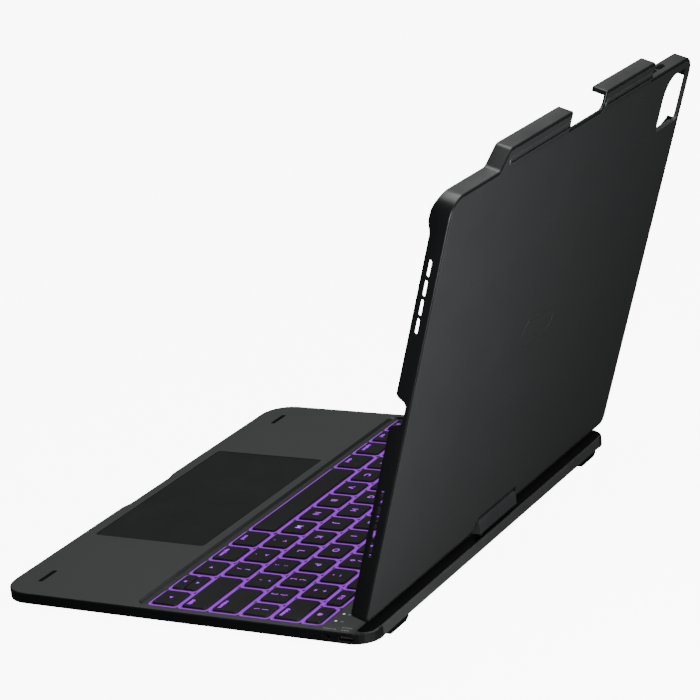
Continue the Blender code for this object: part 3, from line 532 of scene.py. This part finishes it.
def add_cap(bm, x0, x1, y0, y1, top):
    """A chiclet cap: drafted skirt, rounded shoulder and a shallow dished top."""
    def ring(inset, r=CAP_CORNER_R):
        return rounded(x0 + inset, x1 - inset, y0 + inset, y1 - inset, r)
    levels = [(ring(0), CAP_BOTTOM), (ring(CAP_DRAFT), top - CAP_SHOULDER)]
    for i in range(1, 4):
        angle = math.radians(30 * i)
        inset = CAP_DRAFT + CAP_SHOULDER * (1 - math.cos(angle))
        height = top - CAP_SHOULDER * (1 - math.sin(angle))
        levels.append((ring(inset), height))
    rim = CAP_DRAFT + CAP_SHOULDER
    levels.append((ring(rim + 0.3 * DISH_INSET), top - 0.35 * CAP_DISH))
    levels.append((ring(rim + DISH_INSET, 0.9 * CAP_CORNER_R), top - CAP_DISH))
    loft(bm, levels, 0)
    return top - CAP_DISH


def arrow_outline(centre, size, turn):
    """A solid arrowhead that points along +X before it is turned."""
    c, s = math.cos(math.radians(turn)), math.sin(math.radians(turn))
    points = [(0.55, 0), (-0.4, 0.55), (-0.4, -0.55)]
    return [(centre[0] + size * (x * c - y * s), centre[1] + size * (x * s + y * c))
            for x, y in points]


def add_lock_mark(bm, centre, z):
    """A plain padlock: a body and the hoop over it."""
    x, y = centre
    body = rounded(x - 1.3 * MM, x + 1.3 * MM, y - 1.4 * MM, y + 0.3 * MM, 0.3 * MM, 2)
    add_prism(bm, body, z, z + LEGEND_THICKNESS)
    outer, inner = 0.95 * MM, 0.6 * MM
    for i in range(8):
        a0, a1 = math.pi * i / 8, math.pi * (i + 1) / 8
        hoop = [(x + r * math.cos(a), y + 0.3 * MM + r * math.sin(a))
                for r, a in ((inner, a0), (outer, a0), (outer, a1), (inner, a1))]
        add_prism(bm, hoop, z, z + LEGEND_THICKNESS)


def add_legend(bm, node, text, x0, x1, y0, y1, surface):
    """The key's lit mark, on the dished top."""
    z = surface + LEGEND_LIFT
    middle = ((x0 + x1) / 2, (y0 + y1) / 2)
    if node.startswith("bank"):
        if node == "bank_function":
            add_text(bm, text, FUNCTION_SIZE, middle, z)
        elif len(text) == 2:
            offset = 2.6 * MM
            add_text(bm, text[0], SMALL_SIZE, (middle[0], middle[1] + offset), z)
            add_text(bm, text[1], SMALL_SIZE, (middle[0], middle[1] - offset), z)
        else:
            add_text(bm, text, LETTER_SIZE, middle, z)
        return
    text, place = WORD_KEYS[node]
    margin = 2.6 * MM
    if place == "right":
        add_text(bm, text, WORD_SIZE, (x1 - margin, y0 + margin + 0.6 * MM), z, align="RIGHT")
    elif place == "left":
        add_text(bm, text, WORD_SIZE, (x0 + margin, y0 + margin + 0.6 * MM), z, align="LEFT")
    elif place == "middle":
        add_text(bm, text, WORD_SIZE, (middle[0], y0 + margin + 0.8 * MM), z)
    elif place == "stacked":
        add_text(bm, text[0], SMALL_SIZE, (middle[0], middle[1] + 2.6 * MM), z)
        add_text(bm, text[1], SMALL_SIZE, (middle[0], middle[1] - 2.6 * MM), z)
    elif place == "arrow":
        outline = arrow_outline(middle, 2.0 * MM, ARROW_TURNS[node])
        add_prism(bm, outline, z, z + LEGEND_THICKNESS)
    elif place == "lock":
        add_lock_mark(bm, middle, z)


def build_keycaps(caps):
    for name, node, legend, x0, x1, y0, y1, top in caps:
        bm = bmesh.new()
        surface = add_cap(bm, x0, x1, y0, y1, top)
        add_legend(bm, node, legend, x0, x1, y0, y1, surface)
        finish_mesh(name, bm, [KEYCAP, LEGEND], node, replaced=[node])


def build_key_light(caps):
    """One thin film per row on the well floor, with a lit ring round each cap."""
    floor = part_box("key_plate")[1].z
    rows = {}
    for _, _, _, x0, x1, y0, y1, _ in caps:
        if (y1 - y0) < 8 * MM and y1 < 0:
            continue
        rows.setdefault(round(y0 / MM), []).append((x0, x1, y0, y1))
    low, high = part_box("key_arrow_down"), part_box("key_arrow_up")
    bottom = min(rows, key=lambda y: abs(y * MM - low[0].y))
    rows[bottom].append((low[0].x, low[1].x, low[0].y, high[1].y))
    for number, row in enumerate(sorted(rows, reverse=True)):
        bm = bmesh.new()
        glow = bm.verts.layers.float.new("glow")
        for x0, x1, y0, y1 in rows[row]:
            steps = [(FILM_GAP, 0.0), (FILM_BRIGHT, 0.75), (FILM_REACH, 1.0)]
            rings = []
            for grow, level in steps:
                outline = rounded(x0 - grow, x1 + grow, y0 - grow, y1 + grow, CAP_CORNER_R + grow / 2)
                rings.append([bm.verts.new((x, y, floor + FILM_RISE)) for x, y in outline])
                for vert in rings[-1]:
                    vert[glow] = level
            for inner, outer in zip(rings, rings[1:]):
                for i in range(len(inner)):
                    j = (i + 1) % len(inner)
                    bm.faces.new((inner[i], outer[i], outer[j], inner[j]))
        finish_mesh(f"key_light_row_{number + 1}", bm, [FILM], "base")


# ---------------------------------------------------------------- lid (in millimetres)

def lid_corners():
    """The lid's outline with its guards and hinge notch, as (x, u, fillet), anticlockwise."""
    flare, notch, flare_u, notch_u = HINGE_NOTCH
    right = [(flare, 0, 0.6), (LID_HALF_W, 0, LID_BOTTOM_R)]
    right += [(LID_HALF_W, u, 0) for u in (100, 204, 206, 208, 210, 212)]
    right += [(LID_HALF_W, LID_H, LID_CORNER_R), (GUARD_RAMP_X, LID_H, 3), (GUARD_RIGHT_X, GUARD_H, 3),
              (GUARD_SPLIT_X, GUARD_H, 1.2), (GUARD_SPLIT_X, ROOF_LOW_U, 0),
              (GUARD_SPLIT_X, ROOF_LOW_U - 0.05, 0), (GUARD_SPLIT_X, GUARD_SPLIT_U, 0.3)]
    left = [(GUARD_SPLIT_LEFT_X, GUARD_SPLIT_U, 4), (GUARD_SPLIT_LEFT_X, ROOF_LOW_U - 0.05, 0),
            (GUARD_SPLIT_LEFT_X, ROOF_LOW_U, 0), (GUARD_SPLIT_LEFT_X, GUARD_H, 1.0),
            (GUARD_LEFT_X, GUARD_H, 1.5), (GUARD_LEFT_X, LID_H, 0.6),
            (-LID_HALF_W, LID_H, LID_CORNER_R)]
    left += [(-LID_HALF_W, u, 0) for u in (FAR_GAP_U[1] + 0.05, FAR_GAP_U[1], 205, 195, FAR_GAP_U[0],
                                           FAR_GAP_U[0] - 0.05, 185.5, 184.5, 183, 181, 100)]
    left += [(-LID_HALF_W, 0, LID_BOTTOM_R), (-flare, 0, 0.6)]
    return right + left + [(-notch, flare_u, 0.8), (-notch, notch_u, 0.8), (notch, notch_u, 0.8),
                           (notch, flare_u, 0.8)]


def lid_loop(inset, steps=8):
    """The outline moved inwards by inset, always with the same number of points."""
    corners = lid_corners()
    count = len(corners)
    points = []
    for i, (x, u, fillet) in enumerate(corners):
        before = Vector(corners[i - 1][:2])
        here = Vector((x, u))
        after = Vector(corners[(i + 1) % count][:2])
        come = (here - before).normalized()
        leave = (after - here).normalized()
        inward = Vector((-come.y, come.x))
        turn = come.x * leave.y - come.y * leave.x
        if abs(turn) < 0.001:
            points.append(here + inward * inset)
            continue
        bend = math.atan2(turn, come.dot(leave))
        reach = math.tan(abs(bend) / 2)
        apex = here + inward * inset + come * (-inset * math.tan(bend / 2))
        radius = max(fillet - inset if bend > 0 else fillet + inset, 0.02)
        start = apex - come * radius * reach
        side = 1 if bend > 0 else -1
        centre = start + inward * radius * side
        for k in range(steps + 1):
            swing = Matrix.Rotation(bend * k / steps, 2)
            points.append(centre + swing @ (start - centre))
    return points


def smooth_step(t):
    t = min(max(t, 0), 1)
    return t * t * (3 - 2 * t)


def wall_height(x, u):
    """How far the edge wall stands up towards the screen side at an outline point."""
    in_split = GUARD_SPLIT_LEFT_X - 0.01 <= x <= GUARD_SPLIT_X + 0.01
    if u > LID_H - 0.5 and in_split and u < ROOF_LOW_U - 0.01:
        return THIN_H
    low = LID_H - LID_CORNER_R
    if x > 0 and u > LIP_LOW_U and x > LID_HALF_W - LID_CORNER_R - 0.01:
        if u <= low:
            return WALL_H + LIP_RISE * smooth_step((u - LIP_LOW_U) / LIP_RUN_U)
        angle = math.atan2(u - low, x - (LID_HALF_W - LID_CORNER_R))
        return WALL_H + LIP_RISE * smooth_step(1 - angle / LIP_FADE)
    if x < -LID_HALF_W + LID_CORNER_R + 0.01:
        if u > FAR_GAP_U[1] + 0.01:
            angle = math.atan2(u - low, -x - (LID_HALF_W - LID_CORNER_R))
            return WALL_H + FAR_LIP_RISE * smooth_step(1 - max(angle, 0) / FAR_LIP_FADE)
        if u >= FAR_GAP_U[0] - 0.01:
            return THIN_H
        return WALL_H - FAR_DIP * smooth_step((u - FAR_DIP_U) / (FAR_GAP_U[0] - FAR_DIP_U))
    return WALL_H


def lid_rings(bm, levels, closed):
    """Faces through lid loops: each level is (inset, height for each outline point)."""
    base = lid_loop(0)
    rings = []
    for inset, height in levels:
        loop = lid_loop(inset)
        rings.append([bm.verts.new((p.x * MM, p.y * MM, height(*base[i]) * MM))
                      for i, p in enumerate(loop)])
    pairs = list(zip(rings, rings[1:]))
    if closed:
        pairs.append((rings[-1], rings[0]))
    for low, high in pairs:
        for i in range(len(low)):
            j = (i + 1) % len(low)
            bm.faces.new((low[i], low[j], high[j], high[i]))
    return rings


def cut_away(bm, tools):
    """Takes closed tool meshes away from bm and returns the result."""
    meshes = []
    holders = []
    for label, source in (("whole", bm), ("tool", tools)):
        bmesh.ops.recalc_face_normals(source, faces=source.faces)
        mesh = bpy.data.meshes.new(label)
        source.to_mesh(mesh)
        source.free()
        holder = bpy.data.objects.new(label, mesh)
        bpy.context.scene.collection.objects.link(holder)
        meshes.append(mesh)
        holders.append(holder)
    cut = holders[0].modifiers.new("cut", "BOOLEAN")
    cut.object = holders[1]
    cut.solver = "EXACT"
    graph = bpy.context.evaluated_depsgraph_get()
    result = bmesh.new()
    result.from_mesh(holders[0].evaluated_get(graph).data)
    for holder in holders:
        bpy.data.objects.remove(holder)
    for mesh in meshes:
        bpy.data.meshes.remove(mesh)
    return result


def prism_along(bm, outline, low, high, axis):
    """A closed prism whose outline lies across the named lid axis, x or u."""
    rings = []
    for level in (low, high):
        if axis == "x":
            rings.append([bm.verts.new((level * MM, a * MM, b * MM)) for a, b in outline])
        elif axis == "u":
            rings.append([bm.verts.new((a * MM, level * MM, b * MM)) for a, b in outline])
        else:
            rings.append([bm.verts.new((a * MM, b * MM, level * MM)) for a, b in outline])
    for i in range(len(outline)):
        j = (i + 1) % len(outline)
        bm.faces.new((rings[0][i], rings[0][j], rings[1][j], rings[1][i]))
    bm.faces.new(list(reversed(rings[0])))
    bm.faces.new(rings[1])


def build_lid_frame():
    def flat(value):
        return lambda x, u: value

    def under_top(drop):
        return lambda x, u: wall_height(x, u) - drop
    levels = []
    for k in range(6):
        angle = math.radians(18 * k)
        levels.append((RIM_R * (1 - math.sin(angle)), flat(RIM_R * (1 - math.cos(angle)))))
    levels += [(0, under_top(0.5)), (0.07, under_top(0.25)), (0.25, under_top(0.07)),
               (0.5, under_top(0)), (WALL_W - 0.3, under_top(0)), (WALL_W, under_top(0.3)),
               (WALL_W, flat(RIM_R)), (RIM_R + PANEL_GAP, flat(RIM_R)), (RIM_R + PANEL_GAP, flat(0.15)),
               (RIM_R + PANEL_GAP - 0.12, flat(0))]
    bm = bmesh.new()
    lid_rings(bm, levels, closed=True)
    tools = bmesh.new()
    for low, high in SPEAKER_SLOTS:
        for u0, u1 in ((low, high), (2 * PORT_U - high, 2 * PORT_U - low)):
            slot = rounded(u0, u1, *SPEAKER_V, 0.85, 4)
            prism_along(tools, slot, LID_HALF_W - 4, LID_HALF_W + 3, "x")
            if u1 < FAR_GAP_U[0] - 4:
                prism_along(tools, slot, -LID_HALF_W - 3, -LID_HALF_W + 4, "x")
    port = [(PORT_U - half_w, v) for half_w, v in PORT_CUT]
    port += [(PORT_U + half_w, v) for half_w, v in reversed(PORT_CUT)]
    prism_along(tools, port, LID_HALF_W - 4, LID_HALF_W + 3, "x")
    for x in VOLUME_X:
        slot = rounded(x - 4.8, x + 4.8, 3.4, 6.6, 1.5, 5)
        prism_along(tools, slot, LID_H - 3, LID_H + 3, "u")
    bm = cut_away(bm, tools)
    finish_mesh("lid_edge_frame", bm, [LID_FRAME], "lid", lid_matrix(), ["lid_frame"])


def build_lid_panel():
    inset = RIM_R + 2 * PANEL_GAP
    levels = [(inset + 1.0, 0.0), (inset + 0.6, 0.0), (inset + 0.28, 0.06),
              (inset + 0.08, 0.22), (inset, 0.5),
              (inset, 0.95), (1.0, 0.95), (1.0, PLATE_V)]
    bm = bmesh.new()
    rings = lid_rings(bm, [(d, lambda x, u, v=v: v) for d, v in levels], closed=False)
    bm.faces.new(list(reversed(rings[0])))
    bm.faces.new(rings[-1])
    tools = bmesh.new()
    x0, x1, u0, u1 = CAMERA_HOLE
    hole = []
    corners = [(x0, u0, 1, 1), (x1, u0, -1, 1), (x1, u1, -1, -1), (x0, u1, 1, -1)]
    for quarter, (x, u, sx, su) in enumerate(corners):
        r = CAMERA_HOLE_RADII[quarter]
        for i in range(11):
            angle = math.radians(180 + 90 * quarter + 9 * i)
            hole.append((x + sx * r + r * math.cos(angle), u + su * r + r * math.sin(angle)))
    prism_along(tools, hole, -3, 12, "v")
    bm = cut_away(bm, tools)
    finish_mesh("lid_back_cover", bm, [LID_PANEL], "lid", lid_matrix(),
                ["lid_back_panel"])


def add_raised(bm, outlines):
    """A raised detail from lid outlines, each (points, v)."""
    rings = [[bm.verts.new((x * MM, u * MM, v * MM)) for x, u in points] for points, v in outlines]
    for low, high in zip(rings, rings[1:]):
        for i in range(len(low)):
            j = (i + 1) % len(low)
            bm.faces.new((low[i], low[j], high[j], high[i]))
    return rings


def build_lid_details():
    """The steps below the guards' roofs and a plain pill mark on the back."""
    bm = bmesh.new()
    right = (GUARD_SPLIT_X + 1.2, GUARD_RIGHT_X - 0.5)
    left = (GUARD_LEFT_X + 1.5, GUARD_SPLIT_LEFT_X - 1.2)
    for x0, x1 in (right, left):
        outlines = [(rounded(x0 + d, x1 - d, STEP_LOW_U + d, STEP_HIGH_U - d, STEP_R), v)
                    for d, v in STEP_PROFILE]
        rings = add_raised(bm, outlines)
        bm.faces.new(rings[-1])
        bm.faces.new(list(reversed(rings[0])))
    bmesh.ops.recalc_face_normals(bm, faces=bm.faces)
    finish_mesh("guard_steps", bm, [LID_PANEL], "lid", lid_matrix())
    bm = bmesh.new()
    profile = [(0, 0.05), (0.05, -0.08), (0.25, -0.16), (0.75, -0.16), (0.95, -0.08), (1.0, 0.05)]
    half_l, half_h = MARK_SIZE
    outlines = [(rounded(-half_l + d, half_l - d, MARK_U - half_h + d, MARK_U + half_h - d,
                         half_h - d - 0.01, 8), v) for d, v in profile]
    rings = add_raised(bm, outlines)
    for i in range(len(rings[0])):
        j = (i + 1) % len(rings[0])
        bm.faces.new((rings[-1][i], rings[-1][j], rings[0][j], rings[0][i]))
    bmesh.ops.recalc_face_normals(bm, faces=bm.faces)
    finish_mesh("plain_mark", bm, [LID_PANEL], "lid", lid_matrix())


# ---------------------------------------------------------------- base details

def build_deck_marks():
    """Printed icons beside the two lamps, and plain printed dashes for the small lettering."""
    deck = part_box("top_case")[1].z
    bm = bmesh.new()
    for x, first, count, half_x, half_y in DECK_PRINTS:
        for i in range(count):
            y = first + DASH_PITCH * i
            outline = rounded((x - half_x) * MM, (x + half_x) * MM, (y - half_y) * MM,
                              (y + half_y) * MM, 0.15 * MM, 2)
            add_prism(bm, outline, deck - 0.05 * MM, deck + 0.02 * MM, 0)
    finish_mesh("deck_prints", bm, [PRINT], "base")


def build_swivel_liner():
    """A black film on the channel floor round the swivel, between the two rubber strips."""
    low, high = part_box("rear_strip_right")
    edge = low.x - 0.2 * MM
    floor = low.z - 0.3 * MM
    bm = bmesh.new()
    outline = rounded(-edge, edge, low.y, high.y, 0.4 * MM, 3)
    loft(bm, [(outline, floor + 0.01 * MM), (outline, floor + 0.05 * MM)], 0)
    finish_mesh("swivel_liner", bm, [RUBBER], "base")


def build_usb_tongue():
    """The contact tongue in the charging socket, with its contact pads."""
    low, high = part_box("usb_c_socket")
    y, z = (low.y + high.y) / 2, (low.z + high.z) / 2
    bm = bmesh.new()
    turn = Matrix(((0, 0, 1), (1, 0, 0), (0, 1, 0))).to_4x4()
    plate = rounded(y - 3.3 * MM, y + 3.3 * MM, z - 0.35 * MM, z + 0.35 * MM, 0.12 * MM, 3)
    loft(bm, [(plate, low.x + 0.3 * MM), (plate, high.x - 1.0 * MM)], 0)
    for i in range(8):
        middle = y + (i - 3.5) * 0.7 * MM
        pad = rounded(middle - 0.2 * MM, middle + 0.2 * MM, z + 0.33 * MM, z + 0.38 * MM, 0.01 * MM, 1)
        loft(bm, [(pad, low.x + 1.0 * MM), (pad, high.x - 1.4 * MM)], 1)
    finish_mesh("usb_tongue", bm, [STEEL, SOCKET], "base", turn)


# ---------------------------------------------------------------- studio

def area_light(name, location, target, size, power, colour=(1, 1, 1)):
    data = bpy.data.lights.new(name, "AREA")
    data.shape = "RECTANGLE"
    data.size = size[0]
    data.size_y = size[1]
    data.energy = power
    data.color = colour
    light = bpy.data.objects.new(name, data)
    light.location = location
    aim = Vector(target) - Vector(location)
    light.rotation_euler = aim.to_track_quat("-Z", "Y").to_euler()
    light.visible_camera = False
    bpy.context.scene.collection.objects.link(light)
    return light


def build_studio():
    bm = bmesh.new()
    bmesh.ops.create_circle(bm, cap_ends=True, segments=96, radius=9.0)
    mesh = bpy.data.meshes.new("floor")
    bm.to_mesh(mesh)
    bm.free()
    floor = bpy.data.objects.new("floor", mesh)
    floor.location = (0, 0, cad_box[0].z - 0.02 * MM)
    bpy.context.scene.collection.objects.link(floor)
    made, tree, shader = new_material("pale_floor")
    cloud = object_noise(tree, 2.0, 3.0)
    tone = ramp(tree, cloud.outputs["Fac"], (0.86, 0.86, 0.86), (0.88, 0.88, 0.88))
    tree.links.new(tone.outputs["Color"], shader.inputs["Base Color"])
    shader.inputs["Roughness"].default_value = 0.9
    shader.inputs["Emission Color"].default_value = (1, 1, 1, 1)
    shader.inputs["Emission Strength"].default_value = FLOOR_GLOW
    mesh.materials.append(made)
    floor.visible_glossy = False
    floor.visible_diffuse = False
    world = bpy.data.worlds.new("studio")
    world.use_nodes = True
    background = world.node_tree.nodes["Background"]
    background.inputs["Color"].default_value = (1, 1, 1, 1)
    background.inputs["Strength"].default_value = 0.06
    bpy.context.scene.world = world
    area_light("overhead", (0.0, 0.25, 0.62), (0, 0, 0), (0.5, 0.5), 3.4)
    area_light("back_left", (-1.7, -1.2, 0.85), (0, 0, 0.05), (1.6, 0.7), 1.4)
    area_light("rear_side", (0.28, 0.40, 0.09), (0.08, 0.13, 0.08), (0.15, 0.2), 1.35)


def build_camera():
    data = bpy.data.cameras.new("camera")
    data.lens = CAMERA_LENS
    data.sensor_width = 36
    data.clip_end = 50
    camera = bpy.data.objects.new("camera", data)
    back = Vector(CAMERA_BACK).normalized()
    right = Vector(CAMERA_UP).cross(back).normalized()
    turn = Matrix((right, back.cross(right), back)).transposed()
    camera.matrix_world = Matrix.Translation(CAMERA_PLACE) @ turn.to_4x4()
    bpy.context.scene.collection.objects.link(camera)
    bpy.context.scene.camera = camera


dress_nodes()
caps = cap_boxes()
build_keycaps(caps)
build_key_light(caps)
build_lid_frame()
build_lid_panel()
build_lid_details()
build_deck_marks()
build_swivel_liner()
build_usb_tongue()
build_studio()
build_camera()
